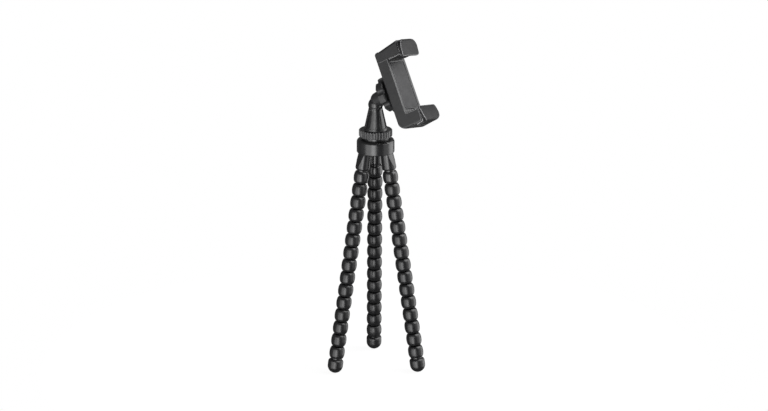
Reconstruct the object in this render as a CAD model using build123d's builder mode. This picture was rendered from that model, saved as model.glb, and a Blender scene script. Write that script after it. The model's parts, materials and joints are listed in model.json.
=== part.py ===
# Flexible leg tripod: three legs of ball-jointed links, a hub, a ball head and a spring clamp for a phone.
#
# The origin is on the standing plane, under the hub's axis, with +Z up and +Y towards the rear leg.
# The clamp looks up and to the front right. All lengths are in millimetres, all angles in degrees.

from math import asin, atan2, cos, pi, radians, sin, sqrt, tan
import os

from build123d import *

os.makedirs("parts", exist_ok=True)

# Clearances
turn_gap = 0.05  # radial, between a pivot and its bore
ball_gap = 0.1  # between a ball and its socket
face_gap = 0.15  # between faces that slide past each other
seat_gap = 0.05  # between a piece and the recess that it is pressed or screwed into
cut_over = 2.0  # how far a cut runs past the face that it opens

# Legs
leg_azimuths = {"rear": 90, "left": 210, "right": 330}
leg_tilt = 9.2
first_joint_radius = 15.7  # from the hub's axis to each leg's first groove
link_pitch = 13.0
link_count = 16
link_radius = 7.7
link_bulge = 0.3
shoulder_height = 2.6
groove_radius = 6.2
groove_angle = 6.2
groove_half_gap = 0.1
foot_length = 15.0
joint_ball_radius = 4.9
joint_ball_rise = 3.5  # from a groove's middle up to its ball's centre
solid_core_radius = 5.2
sleeve_top_radius = 6.5
sleeve_bottom_radius = 7.25

# Hub
hub_drop = 17.2  # from the hub's underside down to the first grooves
hub_height = 13.9
hub_radius = 18.9
hub_wall = 2.4
hub_bottom_round = 1.2
hub_shoulder_height = 3.2
hub_shoulder_width = 3.3
hub_roof = 2.5
hub_neck_radius = 14.0
hub_neck_height = 2.3
pan_boss_radius = 9.0
pan_boss_depth = 6.5
base_plate_height = 4.4
sleeve_facet_height = 14.0
sleeve_facet_flare = 5.0

# Head
pan_pivot_radius = 6.0
pan_pivot_length = 8.7
bolt_radius = 2.5
bolt_head_radius = 5.0
bolt_head_height = 3.2
bolt_socket_width = 4.0
bolt_socket_depth = 2.0
ring_radius = 16.7
ring_height = 7.1
ring_land = 1.0
ring_groove_depth = 1.0
ring_edge = 0.8
knurl_count = 36
knurl_radius = 1.15
knurl_depth = 0.75
housing_base_radius = 12.5
cone_base_radius = 11.8
cone_top_radius = 6.8
cone_height = 22.3
ball_rise = 2.9  # from the cone's top edge up to the ball's centre
ball_radius = 5.9
window_count = 4
window_depth = 1.1
rib_width = 3.2
window_margin = 2.0
window_round = 1.6
brake_radius = 4.6
brake_stroke = 0.75
brake_floor = 2.3  # from the housing's underside to the floor of its bore
brake_bar_height = 2.6
brake_bar_width = 5.0

# Ball stud, its thumb wheel, and where the stud points at rest
stud_azimuth = -32.3
stud_elevation = 28.5
clamp_roll = -10.0
stem_offset = 3.6  # from the ball's centre up to the stem's axis
stud_neck_radius = 3.0
stud_neck_rise = 14.0  # how much steeper the neck stands than the stem
stud_neck_length = 11.0
elbow_reach = 5.0  # from the ball's centre to the elbow, along the stem
elbow_radius = 7.4
dome_gap = 0.3  # between the housing's dome and the elbow
stem_radius = 9.2
stem_length = 16.6
screw_radius = 3.1
screw_length = 14.0
screw_chamfer = 0.6
wheel_radius = 18.2
wheel_height = 8.6
wheel_edge = 1.0
lobe_count = 8
lobe_cut_radius = 3.6
lobe_cut_depth = 2.3
lobe_phase = -7.5

# Phone clamp, in its own directions: across, up along its spine, and out from its back
clamp_reach = 27.4  # from the ball's centre to the clamp's back
clamp_width = 30.0
spine_depth = 13.0
spine_top = 30.1
spine_bottom = -41.5
spine_wall = 2.0
side_wall = 2.5
spine_round = 1.6
heel_round = 10.5
frame_border = 3.6
rim_bevel = 0.8
clamp_boss_radius = 10.0
insert_radius = 5.5
insert_length = 4.2
insert_cover = 1.0
inner_boss_radius = 7.0
inner_boss_rise = 1.4
lower_arm_top = -27.4
lower_arm_taper = 1.6
arm_reach = 28.5
upper_arm_reach = 28.8
upper_arm_height = 10.0
upper_arm_rise = 3.6
arm_round = 3.0
jaw_side_round = 2.7
jaw_heel_round = 4.2
pad_thickness = 1.2
pad_start = 14.5
lower_lip_thickness = 3.5
upper_lip_thickness = 4.4
lip_inset = 0.8  # from the clamp's side to a lip's side
lip_round = 3.0
lip_tip_corner = 2.4
lip_base_corner = 8.5
lower_lip_lean = 2.4
upper_lip_lean = 1.2
lip_wrap = 1.2
lip_hook = 0.8
lower_lip_overhang = 1.2
upper_lip_overhang = 2.8
lower_wrap_start = 18.5
cover_thickness = 1.8
cover_ledge = 4.6
back_pad_thickness = 1.0
back_pad_sink = 0.2
back_pad_round = 2.0
spring_side_gap = 0.8  # between the tongue and the springs
tongue_thickness = 3.6
carriage_height = 6.0
rod_radius = 1.25
rod_inset = 5.3  # from the clamp's side to a rod's axis
rod_level = 5.7
rod_socket = 2.0
spring_inner_radius = 1.5
spring_outer_radius = 2.1
cover_screw_radius = 1.0
cover_screw_head_radius = 1.6
cover_screw_head_height = 0.9
cover_screw_length = 2.8
cover_screw_inset = 6.1  # from the clamp's side to a screw's axis

# Heights of the hub and the head, worked out from the leg that stands under them
foot_centre_distance = (link_count - 1) * link_pitch + foot_length - link_radius
first_joint_height = foot_centre_distance * cos(radians(leg_tilt)) + link_radius
hub_bottom = first_joint_height + hub_drop
hub_top = hub_bottom + hub_height
neck_top = hub_top + hub_neck_height
ring_bottom = neck_top + face_gap
ring_top = ring_bottom + ring_height
cone_top = ring_top + cone_height
ball_height = cone_top + ball_rise
hub_inner_radius = hub_radius - hub_wall
pan_boss_bottom = hub_top - pan_boss_depth
socket_radius = joint_ball_radius + ball_gap
groove_slope = tan(radians(groove_angle))
dome_radius = sqrt(cone_top_radius**2 + ball_rise**2)
ball_centre = Vector(0, 0, ball_height)


def outward(azimuth):
    """The level direction that leaves the hub's axis at an azimuth."""
    return Vector(cos(radians(azimuth)), sin(radians(azimuth)), 0)


def save(piece, name):
    """Label a finished piece and write it."""
    piece.part.label = name
    export_step(piece.part, f"parts/{name}.step")


def leg_plane(azimuth, distance):
    """A plane through a leg's axis. Its X leaves the hub's axis, its Y points up the leg, and its origin lies on
    the leg's axis at a distance down from the first groove."""
    tilt = radians(leg_tilt)
    across = outward(azimuth) * cos(tilt) + Vector(0, 0, 1) * sin(tilt)
    up = Vector(0, 0, 1) * cos(tilt) - outward(azimuth) * sin(tilt)
    start = outward(azimuth) * first_joint_radius + Vector(0, 0, first_joint_height)
    return Plane(origin=start - up * distance, x_dir=across, z_dir=across.cross(up))


def face_drop(radius):
    """How far a groove's face lies from the groove's middle, at a radius from the leg's axis."""
    return groove_half_gap + radius * groove_slope


def face_circle(sphere_radius, side):
    """The radius at which a sphere about a joint's centre meets a groove's face: side is 1 for the lower face
    and -1 for the upper one."""
    rise = joint_ball_rise + side * groove_half_gap
    half_linear = side * rise * groove_slope
    square = 1 + groove_slope**2
    return (sqrt(half_linear**2 - square * (rise**2 - sphere_radius**2)) - half_linear) / square


ball_foot_radius = face_circle(joint_ball_radius, 1)
mouth_radius = face_circle(socket_radius, -1)


def bead_side(top):
    """The outside of one bead below a groove's middle at top, from groove face to groove face."""
    shoulder_radius = link_radius - link_bulge
    upper = top - face_drop(groove_radius)
    lower = top - link_pitch + face_drop(groove_radius)
    upper_shoulder = (shoulder_radius, upper - shoulder_height)
    lower_shoulder = (shoulder_radius, lower + shoulder_height)
    lean = 2 * atan2(link_bulge, (upper - lower) / 2 - shoulder_height)
    TangentArc(upper_shoulder, (groove_radius, upper), tangent=(-sin(lean), cos(lean)))
    ThreePointArc(upper_shoulder, (link_radius, (upper + lower) / 2), lower_shoulder)
    TangentArc(lower_shoulder, (groove_radius, lower), tangent=(-sin(lean), -cos(lean)))


def joint_ball():
    """The ball on top of a moving link, and the groove's face round it."""
    top = (0, joint_ball_rise + joint_ball_radius)
    foot = (ball_foot_radius, -face_drop(ball_foot_radius))
    ThreePointArc(top, (joint_ball_radius, joint_ball_rise), foot)
    Line(foot, (groove_radius, -face_drop(groove_radius)))
    return top


def joint_socket(level):
    """The socket in the end of a link whose groove's middle is at level, and the groove's face round it."""
    mouth = (mouth_radius, level + face_drop(mouth_radius))
    top = (0, level + joint_ball_rise + socket_radius)
    Line((groove_radius, level + face_drop(groove_radius)), mouth)
    ThreePointArc(mouth, (socket_radius, level + joint_ball_rise), top)
    return top


def solid_groove(level):
    """A moulded groove between two beads of one piece, down to its core."""
    core = solid_core_radius
    for side in (1, -1):
        Line((groove_radius, level + side * face_drop(groove_radius)), (core, level + side * face_drop(core)))
    Line((core, level + face_drop(core)), (core, level - face_drop(core)))


# Moving links: each has a ball on top, held in the socket of the link above it
def moving_link(azimuth, number):
    plane = leg_plane(azimuth, (number - 1) * link_pitch)
    with BuildPart() as link:
        with BuildSketch(plane):
            with BuildLine():
                ball_top = joint_ball()
                bead_side(0)
                socket_top = joint_socket(-link_pitch)
                Line(socket_top, ball_top)
            make_face()
        revolve(axis=Axis(plane.origin, plane.y_dir))
    return link


# Feet: the last two beads of a leg, moulded as one piece with a round end
def foot_link(azimuth):
    plane = leg_plane(azimuth, (link_count - 2) * link_pitch)
    end = -link_pitch - foot_length
    top_edge = -link_pitch - face_drop(groove_radius)
    shoulder = (link_radius, top_edge - shoulder_height)
    round_start = (link_radius, end + link_radius)
    half = link_radius * sin(pi / 4)
    with BuildPart() as foot:
        with BuildSketch(plane):
            with BuildLine():
                ball_top = joint_ball()
                bead_side(0)
                solid_groove(-link_pitch)
                TangentArc(shoulder, (groove_radius, top_edge), tangent=(0, 1))
                Line(shoulder, round_start)
                ThreePointArc(round_start, (half, end + link_radius - half), (0, end))
                Line((0, end), ball_top)
            make_face()
        revolve(axis=Axis(plane.origin, plane.y_dir))
    return foot


for side, azimuth in leg_azimuths.items():
    for number in range(2, link_count - 1):
        save(moving_link(azimuth, number), f"{side}_leg_link_{number:02d}")
    save(foot_link(azimuth), f"{side}_leg_foot")


# Hub base: the plate under the hub, moulded with each leg's sleeve and first bead
sleeve_top = hub_drop + base_plate_height / 2
sleeve_end = face_drop(groove_radius)
sleeve_shoulder = (sleeve_bottom_radius, sleeve_end + shoulder_height)
bolt_seat = hub_bottom + bolt_head_height + face_gap
facet_radius = hub_radius - hub_bottom_round
with BuildPart() as hub_base:
    for azimuth in leg_azimuths.values():
        plane = leg_plane(azimuth, 0)
        with BuildSketch(plane):
            with BuildLine():
                Line((0, sleeve_top), (sleeve_top_radius, sleeve_top))
                Line((sleeve_top_radius, sleeve_top), sleeve_shoulder)
                TangentArc(sleeve_shoulder, (groove_radius, sleeve_end), tangent=(0, -1))
                solid_groove(0)
                bead_side(0)
                socket_top = joint_socket(-link_pitch)
                Line(socket_top, (0, sleeve_top))
            make_face()
        revolve(axis=Axis(plane.origin, plane.y_dir))
    split(bisect_by=Plane.XY.offset(hub_bottom), keep=Keep.BOTTOM)
    with BuildSketch(Plane.XZ):
        with BuildLine():
            Polyline(
                (facet_radius, hub_bottom + cut_over),
                (facet_radius, hub_bottom),
                (facet_radius + sleeve_facet_flare, hub_bottom - sleeve_facet_height),
                (2 * hub_radius, hub_bottom - sleeve_facet_height),
                (2 * hub_radius, hub_bottom + cut_over),
                close=True,
            )
        make_face()
    revolve(axis=Axis.Z, mode=Mode.SUBTRACT)
    with BuildSketch(Plane.XY.offset(hub_bottom)):
        Circle(hub_inner_radius - seat_gap)
    extrude(amount=base_plate_height)
    with BuildSketch(Plane.XY.offset(hub_bottom)):
        Circle(pan_boss_radius)
    extrude(amount=pan_boss_bottom - seat_gap - hub_bottom)
    with BuildSketch(Plane.XY.offset(hub_bottom - cut_over)):
        Circle(bolt_head_radius + face_gap)
    extrude(amount=bolt_seat - hub_bottom + cut_over, mode=Mode.SUBTRACT)
    with BuildSketch(Plane.XY.offset(hub_bottom)):
        Circle(bolt_radius + turn_gap)
    extrude(amount=hub_height, mode=Mode.SUBTRACT)
save(hub_base, "hub_base")


# Hub shell: the round collar over the base plate, with the bore that the head turns in
shoulder_start = (hub_radius, hub_top - hub_shoulder_height)
shoulder_end = (hub_radius - hub_shoulder_width, hub_top)
bottom_start = (hub_radius, hub_bottom + hub_bottom_round)
bottom_end = (hub_radius - hub_bottom_round, hub_bottom)
pan_bore_radius = pan_pivot_radius + turn_gap
with BuildPart() as hub_shell:
    with BuildSketch(Plane.XZ):
        with BuildLine():
            TangentArc(bottom_start, bottom_end, tangent=(0, -1))
            Line(bottom_start, shoulder_start)
            TangentArc(shoulder_start, shoulder_end, tangent=(0, 1))
            Polyline(
                shoulder_end,
                (hub_neck_radius, hub_top),
                (hub_neck_radius, neck_top),
                (pan_bore_radius, neck_top),
                (pan_bore_radius, pan_boss_bottom),
                (pan_boss_radius, pan_boss_bottom),
                (pan_boss_radius, hub_top - hub_roof),
                (hub_inner_radius, hub_top - hub_roof),
                (hub_inner_radius, hub_bottom),
                bottom_end,
            )
        make_face()
    revolve(axis=Axis.Z)
save(hub_shell, "hub_shell")


# Pan bolt: its head turns in the hub base and its shank is screwed up into the ball housing
pivot_bottom = ring_bottom - pan_pivot_length
bolt_top = neck_top - face_gap
with BuildPart() as pan_bolt:
    with BuildSketch(Plane.XY.offset(bolt_seat - bolt_head_height - seat_gap)):
        Circle(bolt_head_radius)
    extrude(amount=bolt_head_height)
    with BuildSketch(Plane.XY.offset(bolt_seat - seat_gap)):
        Circle(bolt_radius)
    extrude(amount=bolt_top - bolt_seat)
    with BuildSketch(Plane.XY.offset(bolt_seat - bolt_head_height - seat_gap)):
        RegularPolygon(bolt_socket_width / 2, 6, major_radius=False)
    extrude(amount=bolt_socket_depth, mode=Mode.SUBTRACT)
save(pan_bolt, "pan_bolt")


# Ball housing: the windowed cone with a dome that holds the ball, slotted for the stud's neck
housing_bottom = ring_bottom - face_gap / 2
bore_floor = housing_bottom + brake_floor
bore_radius = brake_radius + turn_gap
cavity_radius = ball_radius + turn_gap
seat_bottom = ball_height - sqrt(cavity_radius**2 - bore_radius**2)
slot_half = stud_neck_radius + 2 * face_gap
bar_bottom = bore_floor + brake_stroke + face_gap
bar_top = bar_bottom + brake_bar_height
cone_slope = (cone_base_radius - cone_top_radius) / cone_height
window_bottom = ring_top + window_margin
window_top = cone_top - window_margin


def cone_radius(height):
    """The housing's outer radius at a height on its cone."""
    return cone_base_radius - (height - ring_top) * cone_slope


def window_half_width(height):
    """Half the width of a window at a height: the quarter of the cone less the rib beside it."""
    return cone_radius(height) * sin(pi / window_count) - rib_width / 2


with BuildPart() as window_cutter:
    with BuildSketch(Plane.XZ):
        with BuildLine():
            Polyline(
                (cone_radius(window_bottom) - window_depth, window_bottom),
                (cone_radius(window_top) - window_depth, window_top),
                (cone_base_radius + cut_over, window_top),
                (cone_base_radius + cut_over, window_bottom),
                close=True,
            )
        make_face()
    revolve(axis=Axis.Z)
    with BuildSketch(Plane.YZ) as window_outline:
        with BuildLine():
            Polyline(
                (-window_half_width(window_bottom), window_bottom),
                (window_half_width(window_bottom), window_bottom),
                (window_half_width(window_top), window_top),
                (-window_half_width(window_top), window_top),
                close=True,
            )
        make_face()
        fillet(window_outline.vertices(), window_round)
    extrude(amount=cone_base_radius + cut_over, mode=Mode.INTERSECT)

with BuildPart() as ball_housing:
    with BuildSketch(Plane.XZ):
        with BuildLine():
            Polyline(
                (0, bolt_top + seat_gap),
                (bolt_radius + seat_gap, bolt_top + seat_gap),
                (bolt_radius + seat_gap, pivot_bottom),
                (pan_pivot_radius, pivot_bottom),
                (pan_pivot_radius, housing_bottom),
                (housing_base_radius, housing_bottom),
                (housing_base_radius, ring_top),
                (cone_base_radius, ring_top),
                (cone_top_radius, cone_top),
            )
            ThreePointArc(
                (cone_top_radius, cone_top),
                (dome_radius * cos(pi / 4), ball_height + dome_radius * sin(pi / 4)),
                (0, ball_height + dome_radius),
            )
            Line((0, ball_height + dome_radius), (0, ball_height + cavity_radius))
            ThreePointArc(
                (0, ball_height + cavity_radius),
                (cavity_radius, ball_height),
                (bore_radius, seat_bottom),
            )
            Polyline(
                (bore_radius, seat_bottom),
                (bore_radius, bore_floor),
                (0, bore_floor),
                (0, bolt_top + seat_gap),
            )
        make_face()
    revolve(axis=Axis.Z)
    with PolarLocations(0, window_count, start_angle=stud_azimuth):
        add(window_cutter.part, mode=Mode.SUBTRACT)
    slot_plane = Plane(origin=ball_centre, x_dir=outward(stud_azimuth), z_dir=outward(stud_azimuth - 90))
    with BuildSketch(slot_plane):
        with Locations((-slot_half, -slot_half)):
            Rectangle(2 * dome_radius + slot_half, 2 * dome_radius + slot_half, align=(Align.MIN, Align.MIN))
    extrude(amount=slot_half, both=True, mode=Mode.SUBTRACT)
    with BuildSketch(Plane.XY.offset(bore_floor)):
        with Locations(Rotation(0, 0, stud_azimuth)):
            Rectangle(2 * housing_base_radius + cut_over, brake_bar_width + 2 * face_gap)
    extrude(amount=bar_top + face_gap - bore_floor, mode=Mode.SUBTRACT)
save(ball_housing, "ball_housing")


# Lock ring: the knurled nut round the housing's base, whose groove drives the brake's bar
ring_bore = housing_base_radius + turn_gap
groove_wall = ring_bore + ring_groove_depth
with BuildPart() as lock_ring:
    with BuildSketch(Plane.XZ):
        with BuildLine():
            Polyline(
                (ring_bore, ring_bottom),
                (ring_radius - ring_edge, ring_bottom),
                (ring_radius, ring_bottom + ring_edge),
                (ring_radius, ring_top - ring_edge),
                (ring_radius - ring_edge, ring_top),
                (ring_bore, ring_top),
                (ring_bore, ring_top - ring_land),
                (groove_wall, ring_top - ring_land),
                (groove_wall, ring_bottom + ring_land),
                (ring_bore, ring_bottom + ring_land),
                close=True,
            )
        make_face()
    revolve(axis=Axis.Z)
    with BuildSketch(Plane.XY.offset(ring_bottom)):
        with PolarLocations(ring_radius + knurl_radius - knurl_depth, knurl_count):
            Circle(knurl_radius)
    extrude(amount=ring_height, mode=Mode.SUBTRACT)
save(lock_ring, "lock_ring")


# Brake piston: the hollow-topped plunger under the ball, lifted by its bar in the lock ring's groove
brake_rim = ball_height - sqrt(cavity_radius**2 - brake_radius**2)
with BuildPart() as brake_piston:
    with BuildSketch(Plane.XZ):
        with BuildLine():
            Polyline(
                (0, ball_height - cavity_radius),
                (0, bar_bottom),
                (brake_radius, bar_bottom),
                (brake_radius, brake_rim),
            )
            ThreePointArc(
                (brake_radius, brake_rim),
                (
                    cavity_radius * sin(asin(brake_radius / cavity_radius) / 2),
                    ball_height - cavity_radius * cos(asin(brake_radius / cavity_radius) / 2),
                ),
                (0, ball_height - cavity_radius),
            )
        make_face()
    revolve(axis=Axis.Z)
    with BuildSketch(Plane.XY.offset(bar_bottom)):
        Circle(groove_wall - face_gap)
        with Locations(Rotation(0, 0, stud_azimuth)):
            Rectangle(2 * groove_wall, brake_bar_width, mode=Mode.INTERSECT)
    extrude(amount=brake_bar_height)
save(brake_piston, "brake_piston")


# Directions of the stud and the clamp: out along the stud, across the clamp, and up its spine
elevation = radians(stud_elevation)
roll = radians(clamp_roll)
stud_out = outward(stud_azimuth) * cos(elevation) + Vector(0, 0, 1) * sin(elevation)
level_across = outward(stud_azimuth + 90)
stud_up = stud_out.cross(level_across)
clamp_across = level_across * cos(roll) + stud_up * sin(roll)
clamp_up = stud_out.cross(clamp_across)
stem_origin = ball_centre + stud_up * stem_offset
clamp_origin = stem_origin + stud_out * clamp_reach
stem_axis = Axis(stem_origin, stud_out)


def stem_level(distance):
    """A plane across the stem at a distance from the ball's centre."""
    return Plane(origin=stem_origin + stud_out * distance, x_dir=clamp_across, z_dir=stud_out)


def clamp_level(distance):
    """A plane parallel to the clamp's back, at a distance out from it. X runs across and Y up the spine."""
    return stem_level(clamp_reach + distance)


def clamp_slice(height):
    """A plane across the spine at a height. X runs across and Y out from the back."""
    return Plane(origin=clamp_origin + clamp_up * height, x_dir=clamp_across, z_dir=-clamp_up)


# The clamp's side view: X runs out from the back and Y up the spine
clamp_side = Plane(origin=clamp_origin, x_dir=stud_out, z_dir=-clamp_across)

# Ball stud: the ball, its neck, the elbow and the flared stem in one, with the screw that the clamp sits on
stem_side = Plane(origin=stem_origin, x_dir=stud_out, z_dir=-clamp_across)
neck_angle = radians(stud_neck_rise)
neck_start = Plane(origin=ball_centre, z_dir=stud_out * cos(neck_angle) + stud_up * sin(neck_angle))
screw_end = stem_length + screw_length
with BuildPart() as ball_stud:
    with BuildSketch(stem_side):
        with BuildLine():
            ThreePointArc(
                (elbow_reach - elbow_radius, 0),
                (elbow_reach - elbow_radius * cos(pi / 4), elbow_radius * sin(pi / 4)),
                (elbow_reach, elbow_radius),
            )
            Polyline(
                (elbow_reach, elbow_radius),
                (stem_length, stem_radius),
                (stem_length, screw_radius),
                (screw_end - screw_chamfer, screw_radius),
                (screw_end, screw_radius - screw_chamfer),
                (screw_end, 0),
                (elbow_reach - elbow_radius, 0),
            )
        make_face()
    revolve(axis=stem_axis)
    with Locations(neck_start.location):
        Sphere(dome_radius + dome_gap, mode=Mode.SUBTRACT)
        Sphere(ball_radius)
    with BuildSketch(neck_start):
        Circle(stud_neck_radius)
    extrude(amount=stud_neck_length)
save(ball_stud, "ball_stud")


# Thumb wheel: the lobed nut on the screw that locks the clamp's turn
wheel_start = stem_length + seat_gap
with BuildPart() as thumb_wheel:
    with BuildSketch(stem_level(wheel_start)):
        Circle(wheel_radius)
        Circle(screw_radius + turn_gap, mode=Mode.SUBTRACT)
        with PolarLocations(wheel_radius + lobe_cut_radius - lobe_cut_depth, lobe_count, start_angle=lobe_phase):
            Circle(lobe_cut_radius, mode=Mode.SUBTRACT)
    extrude(amount=wheel_height)
    rims = thumb_wheel.faces().sort_by(stem_axis)
    chamfer((rims[0].outer_wire().edges() + rims[-1].outer_wire().edges()), wheel_edge)
save(thumb_wheel, "thumb_wheel")


# Clamp frame: the hollow spine with the lower arm, and the boss that takes the stud's screw
rod_spacing = clamp_width - 2 * rod_inset
cover_screw_spacing = clamp_width - 2 * cover_screw_inset
tongue_width = rod_spacing - 2 * (spring_outer_radius + spring_side_gap)
boss_start = wheel_start + wheel_height + face_gap - clamp_reach
insert_start = boss_start + insert_cover
insert_end = insert_start + insert_length
pad_top_level = lower_arm_top + pad_thickness
rim_half = clamp_width / 2 - frame_border
rim_bottom = pad_top_level + frame_border
rim_top = spine_top - frame_border
rim_middle = (rim_top + rim_bottom) / 2
rim_length = rim_top - rim_bottom
cavity_half = clamp_width / 2 - side_wall
cavity_bottom = rim_bottom + cover_ledge
cavity_top = rim_top - cover_ledge
cover_top = spine_depth - back_pad_sink - back_pad_thickness
cover_level = cover_top - cover_thickness
rod_top = spine_top - face_gap
rod_bottom = cavity_bottom - rod_socket
rod_places = [(-rod_spacing / 2, rod_level), (rod_spacing / 2, rod_level)]
screw_places = [
    (side * cover_screw_spacing / 2, height)
    for side in (-1, 1)
    for height in (rim_bottom + cover_ledge / 2, rim_top - cover_ledge / 2)
]
lower_arm_front = spine_bottom + lower_arm_taper
arm_corner = (arm_reach, lower_arm_front + arm_round)
arm_under = (arm_reach - arm_round, lower_arm_front)
heel_back = (0, spine_bottom + heel_round)
heel_under = (heel_round, spine_bottom)
with BuildPart() as clamp_frame:
    with BuildSketch(clamp_side):
        with BuildLine():
            Polyline(
                heel_back,
                (0, spine_top),
                (spine_depth, spine_top),
                (spine_depth, lower_arm_top),
                (arm_reach, lower_arm_top),
                arm_corner,
            )
            TangentArc(arm_corner, arm_under, tangent=(0, -1))
            Line(arm_under, heel_under)
            TangentArc(heel_back, heel_under, tangent=(0, -1))
        make_face()
    extrude(amount=clamp_width / 2, both=True)
    with BuildSketch(clamp_level(0)):
        with Locations((0, spine_top)):
            RectangleRounded(clamp_width, 2 * (spine_top - spine_bottom), arm_round)
    extrude(amount=2 * arm_reach, mode=Mode.INTERSECT)
    with BuildSketch(clamp_slice(spine_top)):
        with Locations((0, clamp_width)):
            RectangleRounded(clamp_width, 2 * clamp_width, spine_round)
    extrude(amount=spine_top - spine_bottom, mode=Mode.INTERSECT)
    with BuildSketch(clamp_level(0)):
        Circle(clamp_boss_radius)
    extrude(amount=boss_start)
    with BuildSketch(clamp_level(spine_wall)):
        with Locations((0, rim_middle)):
            Rectangle(2 * cavity_half, cavity_top - cavity_bottom)
    extrude(amount=cover_level - spine_wall, mode=Mode.SUBTRACT)
    with BuildSketch(clamp_level(spine_wall)):
        Circle(inner_boss_radius)
    extrude(amount=inner_boss_rise)
    with BuildSketch(clamp_level(cover_level)):
        with Locations((0, rim_middle)):
            RectangleRounded(2 * rim_half, rim_length, back_pad_round)
    extrude(amount=spine_depth, mode=Mode.SUBTRACT)
    rim_faces = clamp_frame.faces().filter_by(Plane(clamp_origin, z_dir=stud_out))
    spine_front = rim_faces.sort_by(stem_axis)[-2]
    chamfer(spine_front.inner_wires()[0].edges(), rim_bevel)
    with BuildSketch(clamp_slice(spine_top + cut_over)):
        with Locations((0, rod_level)):
            Rectangle(tongue_width + 2 * face_gap, tongue_thickness + 2 * face_gap)
    extrude(amount=spine_top + cut_over - rim_middle, mode=Mode.SUBTRACT)
    with BuildSketch(clamp_slice(spine_top + cut_over)):
        with Locations(*rod_places):
            Circle(rod_radius + seat_gap)
    extrude(amount=spine_top + cut_over - rod_bottom, mode=Mode.SUBTRACT)
    with BuildSketch(clamp_level(insert_start)):
        Circle(insert_radius + seat_gap)
    extrude(amount=insert_length, mode=Mode.SUBTRACT)
    with BuildSketch(clamp_level(boss_start - cut_over)):
        Circle(screw_radius + turn_gap)
    extrude(amount=insert_cover + cut_over, mode=Mode.SUBTRACT)
    with BuildSketch(clamp_level(cover_level)):
        with Locations(*screw_places):
            Circle(cover_screw_radius + seat_gap)
    extrude(amount=cover_thickness - cover_screw_head_height - cover_screw_length, mode=Mode.SUBTRACT)
save(clamp_frame, "clamp_frame")


# Thread insert: the metal nut moulded into the frame's boss
with BuildPart() as thread_insert:
    with BuildSketch(clamp_level(insert_start)):
        Circle(insert_radius)
        Circle(screw_radius + turn_gap, mode=Mode.SUBTRACT)
    extrude(amount=insert_length)
save(thread_insert, "thread_insert")


# Frame cover: the plate that closes the spine, sunk inside the frame's rim
with BuildPart() as frame_cover:
    with BuildSketch(clamp_level(cover_level)):
        with Locations((0, rim_middle)):
            RectangleRounded(2 * (rim_half - face_gap), rim_length - 2 * face_gap, back_pad_round)
        with Locations(*screw_places):
            Circle(cover_screw_radius + seat_gap, mode=Mode.SUBTRACT)
    extrude(amount=cover_thickness)
    with BuildSketch(clamp_level(cover_top)):
        with Locations(*screw_places):
            Circle(cover_screw_head_radius + seat_gap)
    extrude(amount=-cover_screw_head_height, mode=Mode.SUBTRACT)
save(frame_cover, "frame_cover")


# Cover screws: four small screws under the back pad
with BuildPart() as cover_screws:
    with BuildSketch(clamp_level(cover_top - cover_screw_head_height)):
        with Locations(*screw_places):
            Circle(cover_screw_head_radius)
    extrude(amount=cover_screw_head_height - seat_gap)
    with BuildSketch(clamp_level(cover_top - cover_screw_head_height)):
        with Locations(*screw_places):
            Circle(cover_screw_radius)
    extrude(amount=-cover_screw_length + seat_gap)
save(cover_screws, "cover_screws")


# Back pad: the soft sheet on the cover that the phone's back rests on
with BuildPart() as back_pad:
    with BuildSketch(clamp_level(cover_top)):
        with Locations((0, rim_middle)):
            RectangleRounded(2 * (rim_half - face_gap), rim_length - 2 * face_gap, back_pad_round)
    extrude(amount=back_pad_thickness)
save(back_pad, "back_pad")


# Guide rods: two steel rods pushed down into the spine
with BuildPart() as guide_rods:
    with BuildSketch(clamp_slice(rod_top)):
        with Locations(*rod_places):
            Circle(rod_radius)
    extrude(amount=rod_top - rod_bottom - seat_gap)
save(guide_rods, "guide_rods")


# Sliding jaw: the upper arm, with the tongue and the carriage that run inside the spine
carriage_bottom = cavity_bottom + face_gap
carriage_top = carriage_bottom + carriage_height
carriage_floor = spine_wall + inner_boss_rise + face_gap
carriage_roof = cover_level - face_gap
jaw_bottom = spine_top + face_gap
jaw_back_top = jaw_bottom + upper_arm_height
jaw_front_top = jaw_back_top + upper_arm_rise
jaw_back = (0, jaw_back_top - jaw_heel_round)
jaw_heel = (jaw_heel_round, jaw_back_top)
with BuildPart() as sliding_jaw:
    with BuildSketch(clamp_side):
        with BuildLine():
            Polyline(
                jaw_back,
                (0, jaw_bottom),
                (upper_arm_reach, jaw_bottom),
                (upper_arm_reach, jaw_front_top),
                jaw_heel,
            )
            TangentArc(jaw_back, jaw_heel, tangent=(0, 1))
        make_face()
    extrude(amount=clamp_width / 2, both=True)
    with BuildSketch(clamp_slice(jaw_front_top)):
        with Locations((0, clamp_width)):
            RectangleRounded(clamp_width, 2 * clamp_width, spine_round)
    extrude(amount=jaw_front_top - jaw_bottom, mode=Mode.INTERSECT)
    jaw_roof = sliding_jaw.faces().filter_by(GeomType.PLANE).sort_by(Axis(clamp_origin, clamp_up))[-1]
    roof_sides = jaw_roof.edges().sort_by(Axis(clamp_origin, clamp_across))
    fillet([roof_sides[0], roof_sides[-1]], jaw_side_round)
    with BuildSketch(clamp_slice(jaw_bottom)):
        with Locations((0, rod_level)):
            Rectangle(tongue_width, tongue_thickness)
    extrude(amount=jaw_bottom - carriage_top)
    with BuildSketch(clamp_slice(carriage_top)):
        with Locations((0, (carriage_floor + carriage_roof) / 2)):
            Rectangle(2 * (cavity_half - face_gap), carriage_roof - carriage_floor)
        with Locations(*rod_places):
            Circle(rod_radius + turn_gap, mode=Mode.SUBTRACT)
    extrude(amount=carriage_height)
save(sliding_jaw, "sliding_jaw")


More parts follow.
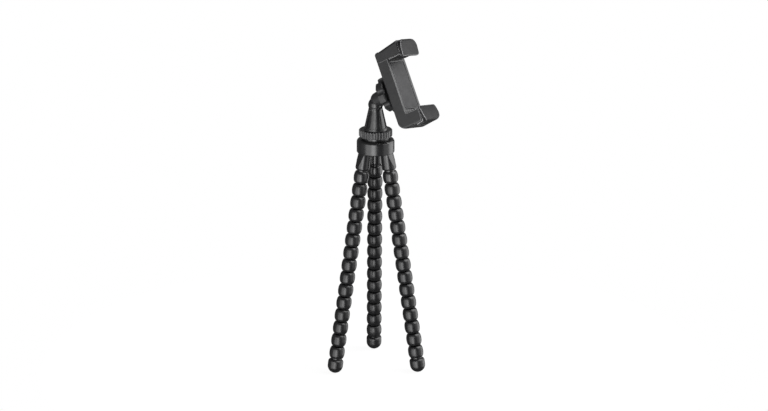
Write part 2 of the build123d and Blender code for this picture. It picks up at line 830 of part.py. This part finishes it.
# Return springs: round the guide rods, between the carriage and the top of the spine's hollow
with BuildPart() as return_springs:
    with BuildSketch(clamp_slice(cavity_top - seat_gap)):
        with Locations(*rod_places):
            Circle(spring_outer_radius)
            Circle(spring_inner_radius, mode=Mode.SUBTRACT)
    extrude(amount=cavity_top - carriage_top - 2 * seat_gap)
save(return_springs, "return_springs")


lip_width = clamp_width - 2 * lip_inset
lower_lip_reach = arm_reach + lower_lip_thickness
upper_lip_reach = upper_arm_reach + upper_lip_thickness


def lip_front(reach, tip, base, lean, side):
    """The lip's front in the clamp's side view, from its tip, which leans back, to its base. side is 1 where the
    tip is above."""
    tip_end = (reach - lean, tip)
    front_base = (reach, base + side * lip_round)
    base_end = (reach - lip_round, base)
    TangentArc(front_base, tip_end, tangent=(0, side))
    TangentArc(front_base, base_end, tangent=(0, -side))
    return tip_end, base_end


def lip_outline(tip, base):
    """A lip's outline seen from its front, with small corners at its tip and large ones at its base."""
    with BuildSketch() as outline:
        with Locations((0, (tip + base) / 2)):
            Rectangle(lip_width, abs(tip - base))
        for end, corner in ((tip, lip_tip_corner), (base, lip_base_corner)):
            fillet(outline.vertices().sort_by_distance((0, end, 0))[:2], corner)
    return outline.sketch


# Lower jaw pad: the soft cap on the lower arm, with its lip, its inner sheet and its wrap under the arm
lower_tip = pad_top_level + lower_lip_overhang
lower_base = lower_arm_front - lip_wrap
wrap_share = (lower_wrap_start - heel_round) / (arm_reach - arm_round - heel_round)
wrap_level = spine_bottom + lower_arm_taper * wrap_share
with BuildPart() as lower_jaw_pad:
    with BuildSketch(clamp_side):
        with BuildLine():
            tip_end, base_end = lip_front(lower_lip_reach, lower_tip, lower_base, lower_lip_lean, 1)
            Polyline(
                tip_end,
                (arm_reach + lip_hook, lower_tip),
                (arm_reach, pad_top_level),
                (pad_start, pad_top_level),
                (pad_start, lower_arm_top),
                (arm_reach, lower_arm_top),
                arm_corner,
            )
            TangentArc(arm_corner, arm_under, tangent=(0, -1))
            Polyline(
                arm_under,
                (lower_wrap_start, wrap_level),
                (lower_wrap_start, wrap_level - lip_wrap),
                base_end,
            )
        make_face()
    extrude(amount=lip_width / 2, both=True)
    with BuildSketch(clamp_level(0)):
        add(lip_outline(lower_tip, wrap_level - lip_wrap))
    extrude(amount=2 * lower_lip_reach, mode=Mode.INTERSECT)
save(lower_jaw_pad, "lower_jaw_pad")


# Upper jaw pad: the soft cap on the sliding jaw's arm
upper_tip = jaw_bottom - pad_thickness - upper_lip_overhang
with BuildPart() as upper_jaw_pad:
    with BuildSketch(clamp_side):
        with BuildLine():
            tip_end, base_end = lip_front(upper_lip_reach, upper_tip, jaw_front_top, upper_lip_lean, -1)
            Polyline(
                tip_end,
                (upper_arm_reach + lip_hook, upper_tip),
                (upper_arm_reach, jaw_bottom - pad_thickness),
                (pad_start, jaw_bottom - pad_thickness),
                (pad_start, jaw_bottom),
                (upper_arm_reach, jaw_bottom),
                (upper_arm_reach, jaw_front_top),
                base_end,
            )
        make_face()
    extrude(amount=lip_width / 2, both=True)
    with BuildSketch(clamp_level(0)):
        add(lip_outline(upper_tip, jaw_front_top))
    extrude(amount=2 * upper_lip_reach, mode=Mode.INTERSECT)
save(upper_jaw_pad, "upper_jaw_pad")
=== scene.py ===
# Flexible leg tripod with a ball head and a spring clamp for a phone.
#
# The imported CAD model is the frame. Each section below holds one piece or one group of like pieces, from the
# hub and the legs up to the clamp, and then the studio that they are seen in. Lengths in mm are written as n * MM.

import json
from math import cos, pi, radians, sin

import bmesh
import bpy
import numpy as np
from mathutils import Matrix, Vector


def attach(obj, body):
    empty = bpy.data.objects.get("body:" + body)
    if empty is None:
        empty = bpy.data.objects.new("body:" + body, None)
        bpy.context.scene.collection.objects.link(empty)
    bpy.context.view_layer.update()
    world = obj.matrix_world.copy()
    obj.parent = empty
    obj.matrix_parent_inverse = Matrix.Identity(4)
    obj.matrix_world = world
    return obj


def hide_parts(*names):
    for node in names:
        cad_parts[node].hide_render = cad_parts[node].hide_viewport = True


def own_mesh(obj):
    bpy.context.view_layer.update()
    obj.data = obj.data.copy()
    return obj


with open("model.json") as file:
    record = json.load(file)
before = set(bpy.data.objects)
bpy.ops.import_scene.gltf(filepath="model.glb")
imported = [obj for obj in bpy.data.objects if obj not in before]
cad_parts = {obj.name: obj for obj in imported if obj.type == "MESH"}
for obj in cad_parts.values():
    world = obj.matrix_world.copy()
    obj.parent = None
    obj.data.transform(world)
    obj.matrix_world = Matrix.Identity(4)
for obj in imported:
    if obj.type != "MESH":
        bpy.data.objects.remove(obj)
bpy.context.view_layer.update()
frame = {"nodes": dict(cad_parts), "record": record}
MM = 0.001


# Hub: the round collar and the plate under it, injection moulded in black ABS. The collar is polished in the
# mould, so it mirrors the lamps softly; a very fine grain is left by the steel.
def linear(hex_colour):
    """The linear RGBA of an sRGB hex colour."""
    channels = [int(hex_colour[i:i + 2], 16) / 255 for i in (1, 3, 5)]
    return [c / 12.92 if c <= 0.04045 else ((c + 0.055) / 1.055) ** 2.4 for c in channels] + [1.0]


def add_node(material, kind, values=None, links=None, **settings):
    """Adds one node: values go to its sockets, links join its sockets to other nodes' outputs."""
    tree = material.node_tree
    node = tree.nodes.new(kind)
    for name, setting in settings.items():
        setattr(node, name, setting)
    for name, value in (values or {}).items():
        node.inputs[name].default_value = value
    for name, source in (links or {}).items():
        tree.links.new(source, node.inputs[name])
    return node


PATCH_SIZE = 9 * MM  # how wide the faint patches of a moulding's gloss and colour are
PATCH_LIFT = 1.25  # how much lighter the light patches are
EDGE_HIGHLIGHT_WIDTH = 1.2 * MM  # how far from an edge the painted highlight reaches
HIGHLIGHT_STARTS, HIGHLIGHT_FULL = 0.995, 0.9  # the cosines of the edge's turn where the painted highlight starts and where it is full


def moulded(name, hex_colour, roughness, ior, grain, grain_depth, spread, highlight_colour=None):
    """A moulded plastic or rubber: its grain is the mould's texture, spread is how much its gloss varies, and
    the last colour, if given, is a painted highlight that lightens its edges and inner corners."""
    material = bpy.data.materials.new(name)
    material.use_nodes = True
    tree = material.node_tree
    shader = tree.nodes["Principled BSDF"]
    place = add_node(material, "ShaderNodeTexCoord").outputs["Object"]
    patches = add_node(material, "ShaderNodeTexNoise", {"Scale": 1 / PATCH_SIZE, "Detail": 3.0}, {"Vector": place})
    gloss = add_node(material, "ShaderNodeMapRange",
                     {"From Min": 0.3, "From Max": 0.7, "To Min": roughness - spread, "To Max": roughness + spread},
                     {"Value": patches.outputs["Fac"]})
    pits = add_node(material, "ShaderNodeTexNoise", {"Scale": 1 / grain, "Detail": 2.0, "Roughness": 0.6},
                    {"Vector": place})
    bump = add_node(material, "ShaderNodeBump", {"Strength": 1.0, "Distance": grain_depth},
                    {"Height": pits.outputs["Fac"]})
    colour = linear(hex_colour)
    lighter = [channel * PATCH_LIFT for channel in colour[:3]] + [1.0]
    shade = add_node(material, "ShaderNodeMix", {"A": colour, "B": lighter}, {"Factor": patches.outputs["Fac"]},
                     data_type="RGBA")
    # Painted highlight: edges and inner corners, where the rounded normal turns from the true one, are lightened
    # towards the last colour.
    if highlight_colour:
        rounded = add_node(material, "ShaderNodeBevel", {"Radius": EDGE_HIGHLIGHT_WIDTH}, samples=6)
        facing = add_node(material, "ShaderNodeNewGeometry").outputs["True Normal"]
        turn = add_node(material, "ShaderNodeVectorMath", None, {0: rounded.outputs["Normal"], 1: facing},
                        operation="DOT_PRODUCT")
        painted_highlight = add_node(material, "ShaderNodeMapRange", {"From Min": HIGHLIGHT_STARTS, "From Max": HIGHLIGHT_FULL},
                       {"Value": turn.outputs["Value"]})
        shade = add_node(material, "ShaderNodeMix", {"B": linear(highlight_colour)},
                         {"Factor": painted_highlight.outputs["Result"], "A": shade.outputs["Result"]}, data_type="RGBA")
    shader.inputs["IOR"].default_value = ior
    tree.links.new(shade.outputs["Result"], shader.inputs["Base Color"])
    tree.links.new(gloss.outputs["Result"], shader.inputs["Roughness"])
    tree.links.new(bump.outputs["Normal"], shader.inputs["Normal"])
    return material


def dress(node_name, material):
    """Puts a material on a CAD node."""
    node = frame["nodes"][node_name]
    node.data.materials.clear()
    node.data.materials.append(material)


MERGE_GAP = 0.002 * MM
FLAT_ANGLE = radians(0.5)  # facets that turn less than this belong to one flat face
SHARP_ANGLE = radians(28)  # edges that turn more than this get the mould's radius
EDGE_STEPS = 3
AREA_WEIGHT = 100


def soft_edged(node_name, name, radius, material, body):
    """A copy of a CAD piece with the small edge radius that its mould gives it, in place of the sharp one."""
    mesh = frame["nodes"][node_name].data.copy()
    mesh.name = name
    shape = bmesh.new()
    shape.from_mesh(mesh)
    bmesh.ops.remove_doubles(shape, verts=shape.verts, dist=MERGE_GAP)
    bmesh.ops.dissolve_limit(shape, angle_limit=FLAT_ANGLE, verts=shape.verts, edges=shape.edges)
    for face in shape.faces:
        face.smooth = True
    shape.to_mesh(mesh)
    shape.free()
    mesh.materials.clear()
    mesh.materials.append(material)
    piece = bpy.data.objects.new(name, mesh)
    bpy.context.scene.collection.objects.link(piece)
    edges = piece.modifiers.new("edges", "BEVEL")
    edges.width, edges.segments, edges.limit_method, edges.angle_limit = radius, EDGE_STEPS, "ANGLE", SHARP_ANGLE
    shading = piece.modifiers.new("shading", "WEIGHTED_NORMAL")
    shading.mode, shading.weight = "FACE_AREA", AREA_WEIGHT
    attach(piece, body)
    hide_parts(node_name)
    return piece


abs_polished = moulded("black_abs_polished_mould", "#141415", 0.26, 1.54, 0.9 * MM, 0.004 * MM, 0.03)
for name in ("hub_shell", "hub_base"):
    dress(name, abs_polished)

# Legs: beads of black polyoxymethylene, each with a ball on top that snaps into the socket of the bead above.
# The resin is a little waxy, with a semi-gloss skin.
pom_bead = moulded("black_pom_bead", "#131314", 0.31, 1.48, 0.8 * MM, 0.004 * MM, 0.04)
for name in frame["nodes"]:
    if "_leg_link_" in name:
        dress(name, pom_bead)

# Feet: the same bead form with a round end in soft black rubber, duller than the links.
rubber_foot = moulded("black_rubber_foot", "#131314", 0.34, 1.5, 0.7 * MM, 0.01 * MM, 0.05)
for name in frame["nodes"]:
    if name.endswith("_leg_foot"):
        dress(name, rubber_foot)

# Head: the windowed cone, its lock ring with a fine knurl, and the brake inside. Black ABS from a spark-eroded
# mould, so it is a little duller than the collar.
# Its edges and inner corners carry a painted highlight in a lighter grey.
abs_eroded = moulded("black_abs_eroded_mould", "#131314", 0.3, 1.54, 0.6 * MM, 0.008 * MM, 0.04, "#424243")
dress("brake_piston", abs_eroded)
soft_edged("ball_housing", "windowed_cone", 0.35 * MM, abs_eroded, "head")
soft_edged("lock_ring", "knurled_lock_ring", 0.2 * MM, abs_eroded, "lock")

# Ball stud and thumb wheel: glass-filled nylon, semi-matt grey black.
nylon_filled = moulded("black_glass_filled_nylon", "#1a1a1b", 0.42, 1.53, 0.5 * MM, 0.01 * MM, 0.05)
dress("ball_stud", nylon_filled)
soft_edged("thumb_wheel", "lobed_thumb_wheel", 0.5 * MM, nylon_filled, "wheel")

# Clamp: the hollow spine and the jaw in black ABS with a fine matt texture, which looks dark grey in soft light.
# The spine's edges and inner corners carry a painted highlight in a lighter grey, and the upper arm's copy of the
# plastic has none.
abs_textured = moulded("grey_black_abs_textured", "#19191a", 0.38, 1.5, 0.5 * MM, 0.01 * MM, 0.04, "#6c6c6d")
dress("frame_cover", abs_textured)
soft_edged("clamp_frame", "clamp_spine_and_arm", 0.6 * MM, abs_textured, "clamp")
abs_upper_arm = moulded("grey_black_abs_upper_arm", "#19191a", 0.38, 1.5, 0.5 * MM, 0.01 * MM, 0.04)
soft_edged("sliding_jaw", "clamp_upper_arm", 0.6 * MM, abs_upper_arm, "jaw")

# Pads: soft thermoplastic rubber, matt, with a bloom that lifts its grey.
# Both carry a painted highlight along their edges and inner corners, the arm caps' the brightest.
tpe_pad = moulded("grey_tpe_back_pad", "#18181a", 0.5, 1.42, 0.6 * MM, 0.01 * MM, 0.05, "#6c6c6d")
tpe_cap = moulded("black_tpe_arm_cap", "#131314", 0.55, 1.34, 0.6 * MM, 0.01 * MM, 0.05, "#9a9a9b")
soft_edged("back_pad", "phone_back_pad", 0.4 * MM, tpe_pad, "clamp")
soft_edged("lower_jaw_pad", "lower_arm_cap", 0.9 * MM, tpe_cap, "clamp")
soft_edged("upper_jaw_pad", "upper_arm_cap", 0.9 * MM, tpe_cap, "jaw")


# Metal pieces inside: zinc-plated steel screws, rods and springs, and a turned brass insert. Fine turning marks
# vary their gloss.
MARK_SIZE = 0.4 * MM


def metal(name, hex_colour, roughness):
    """A bright metal with fine marks."""
    material = bpy.data.materials.new(name)
    material.use_nodes = True
    tree = material.node_tree
    shader = tree.nodes["Principled BSDF"]
    place = add_node(material, "ShaderNodeTexCoord").outputs["Object"]
    marks = add_node(material, "ShaderNodeTexNoise", {"Scale": 1 / MARK_SIZE, "Detail": 2.0}, {"Vector": place})
    gloss = add_node(material, "ShaderNodeMapRange",
                     {"From Min": 0.3, "From Max": 0.7, "To Min": roughness - 0.05, "To Max": roughness + 0.08},
                     {"Value": marks.outputs["Fac"]})
    shader.inputs["Base Color"].default_value = linear(hex_colour)
    shader.inputs["Metallic"].default_value = 1.0
    tree.links.new(gloss.outputs["Result"], shader.inputs["Roughness"])
    return material


zinc_steel = metal("zinc_plated_steel", "#b9bcc0", 0.3)
for name in ("pan_bolt", "guide_rods", "cover_screws"):
    dress(name, zinc_steel)
dress("thread_insert", metal("turned_brass", "#c6a45c", 0.28))

# Return springs: a coil of steel wire round each guide rod, with its end turns closed. Its top rests in the spine
# and its foot on the jaw's carriage; the coil is built at its rest length and moves with the clamp.
WIRE_RADIUS = 0.28 * MM
COIL_RADIUS = 1.8 * MM
COIL_TURNS = 10
TURN_STEPS = 24
WIRE_SIDES = 8
slide = next(joint for joint in frame["record"]["behaviour"]["joints"] if joint["name"] == "jaw_slide")
up = Vector(slide["axis"]).normalized()
side = up.orthogonal().normalized()
front = up.cross(side)
sleeves = [vertex.co for vertex in frame["nodes"]["return_springs"].data.vertices]
spring_foot, spring_top = min(point.dot(up) for point in sleeves), max(point.dot(up) for point in sleeves)


def middle(points, direction):
    """Halfway between the first and last of the points along a direction."""
    along = [point.dot(direction) for point in points]
    return (min(along) + max(along)) / 2


between = side * middle(sleeves, side) + front * middle(sleeves, front)
farthest = max((point - between - up * point.dot(up) for point in sleeves), key=lambda spoke: spoke.length)
coil_height = spring_top - spring_foot - 2 * WIRE_RADIUS
coil_shape = bmesh.new()
for sleeve in ([point for point in sleeves if (point - between).dot(farthest) > 0],
               [point for point in sleeves if (point - between).dot(farthest) < 0]):
    foot = side * middle(sleeve, side) + front * middle(sleeve, front) + up * (spring_foot + WIRE_RADIUS)
    rings = []
    for step in range(COIL_TURNS * TURN_STEPS + 1):
        turn = step / TURN_STEPS
        rise = np.interp(turn, (0, 1, COIL_TURNS - 1, COIL_TURNS),
                         (0, 2 * WIRE_RADIUS, coil_height - 2 * WIRE_RADIUS, coil_height))
        spoke = side * cos(2 * pi * turn) + front * sin(2 * pi * turn)
        rings.append([coil_shape.verts.new(
            foot + up * rise + spoke * (COIL_RADIUS + WIRE_RADIUS * cos(2 * pi * corner / WIRE_SIDES))
            + up * WIRE_RADIUS * sin(2 * pi * corner / WIRE_SIDES)) for corner in range(WIRE_SIDES)])
    for ring, after in zip(rings, rings[1:]):
        for corner in range(WIRE_SIDES):
            beside = (corner + 1) % WIRE_SIDES
            coil_shape.faces.new((ring[corner], ring[beside], after[beside], after[corner])).smooth = True
    coil_shape.faces.new(rings[0])
    coil_shape.faces.new(rings[-1])
bmesh.ops.recalc_face_normals(coil_shape, faces=coil_shape.faces)
coil_mesh = bpy.data.meshes.new("coil_springs")
coil_shape.to_mesh(coil_mesh)
coil_shape.free()
coil_mesh.materials.append(zinc_steel)
coils = bpy.data.objects.new("coil_springs", coil_mesh)
bpy.context.scene.collection.objects.link(coils)
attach(coils, "clamp")
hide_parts("return_springs")
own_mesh(coils)


# Table: a small round white table top, which keeps the tripod's faint shadow. The plastic doesn't mirror it, so
# that the lamps' bands run down the legs to the feet.
TABLE_RADIUS = 0.34
TABLE_GAP = 0.4 * MM  # below the feet, so that the two don't share a plane
GLOW_SEEN, GLOW_LENT = 0.9, 0.4  # the glow's share of the top to the camera, and in the light it sends on
table_mesh = bpy.data.meshes.new("table_top")
table_shape = bmesh.new()
bmesh.ops.create_circle(table_shape, cap_ends=True, segments=96, radius=TABLE_RADIUS)
table_shape.to_mesh(table_mesh)
table_shape.free()
table = bpy.data.objects.new("table_top", table_mesh)
bpy.context.scene.collection.objects.link(table)
table.location.z = -TABLE_GAP
table.visible_glossy = False
white_table = bpy.data.materials.new("white_laminate_table")
white_table.use_nodes = True
table_shader = white_table.node_tree.nodes["Principled BSDF"]
table_shader.inputs["Base Color"].default_value = linear("#f4f4f4")
table_shader.inputs["Roughness"].default_value = 0.6
rays = add_node(white_table, "ShaderNodeLightPath")
seen = add_node(white_table, "ShaderNodeMapRange", {"To Min": GLOW_LENT, "To Max": GLOW_SEEN},
                {"Value": rays.outputs["Is Camera Ray"]})
glow = add_node(white_table, "ShaderNodeEmission", {"Color": (1, 1, 1, 1), "Strength": 1.05})
mix = add_node(white_table, "ShaderNodeMixShader", None,
               {"Fac": seen.outputs["Result"], 1: table_shader.outputs["BSDF"], 2: glow.outputs["Emission"]})
table_nodes = white_table.node_tree.nodes
white_table.node_tree.links.new(mix.outputs["Shader"], table_nodes["Material Output"].inputs["Surface"])
table_mesh.materials.append(white_table)

# Room: white behind the table, and dim round the lamps, so that black plastic keeps its contrast.
ROOM_LEVEL = 0.15
world = bpy.data.worlds.new("studio_room")
bpy.context.scene.world = world
world.use_nodes = True
room = world.node_tree.nodes["Background"]
room.inputs["Color"].default_value = (1.0, 1.0, 1.0, 1.0)
world_rays = add_node(world, "ShaderNodeLightPath")
room_level = add_node(world, "ShaderNodeMapRange", {"To Min": ROOM_LEVEL},
                      {"Value": world_rays.outputs["Is Camera Ray"]})
world.node_tree.links.new(room_level.outputs["Result"], room.inputs["Strength"])


# Lamps: two softboxes low at the front left and a dim one beside them, two at the right, and one high at the right.
# The dark gaps between them draw the lines on the cone and the beads.
LAMP_DISTANCE = 1.5
HUB_CENTRE = Vector((0, 0, 0.2))


def softbox(name, azimuth, elevation, width, height, level):
    """An area lamp that looks at the hub. Azimuth is anticlockwise from +X, and level is how bright its face is
    against white."""
    lamp = bpy.data.lights.new(name, "AREA")
    lamp.shape = "RECTANGLE"
    lamp.size, lamp.size_y, lamp.energy = width, height, level * pi * width * height
    box = bpy.data.objects.new(name, lamp)
    bpy.context.scene.collection.objects.link(box)
    turn, rise = radians(azimuth), radians(elevation)
    away = Vector((cos(turn) * cos(rise), sin(turn) * cos(rise), sin(rise)))
    box.location = HUB_CENTRE + away * LAMP_DISTANCE
    box.rotation_euler = away.to_track_quat("Z", "Y").to_euler()


softbox("softbox_front_left", -124, -12, 1.7, 1.8, 2.6)
softbox("softbox_front", -103, -12, 0.75, 1.8, 3.1)
softbox("softbox_left", -164, 0, 1.4, 2.0, 0.18)
softbox("softbox_right", 20, 0, 1.3, 2.0, 1.9)
softbox("softbox_front_right", -8, 0, 2.1, 1.9, 0.9)
softbox("softbox_high_right", -15, 50, 1.2, 1.3, 5.0)

# Camera: 3 m away, 16 degrees above the level of the collar. The collar's middle lies off the photograph's centre,
# so the lens is shifted to it.
CAMERA_DISTANCE = 3.0
CAMERA_RISE = radians(16)
CAMERA_TURN = radians(2)
COLLAR_HEIGHT = 207.4 * MM
PHOTO_WIDTH, PHOTO_HEIGHT = 768, 411
COLLAR_COLUMN, COLLAR_ROW = 375.6, 168.2
camera_data = bpy.data.cameras.new("camera")
camera_data.lens = 140.625
camera_data.sensor_width = 36.0
camera_data.shift_x = (PHOTO_WIDTH / 2 - COLLAR_COLUMN) / PHOTO_WIDTH
camera_data.shift_y = (COLLAR_ROW - PHOTO_HEIGHT / 2) / PHOTO_WIDTH
camera = bpy.data.objects.new("camera", camera_data)
bpy.context.scene.collection.objects.link(camera)
toward = Vector((-sin(CAMERA_TURN) * cos(CAMERA_RISE), -cos(CAMERA_TURN) * cos(CAMERA_RISE), sin(CAMERA_RISE)))
camera.location = Vector((0, 0, COLLAR_HEIGHT)) + toward * CAMERA_DISTANCE
camera.rotation_euler = toward.to_track_quat("Z", "Y").to_euler()
camera_data.clip_end = 100
bpy.context.scene.camera = camera
bpy.context.scene.view_settings.view_transform = "Standard"
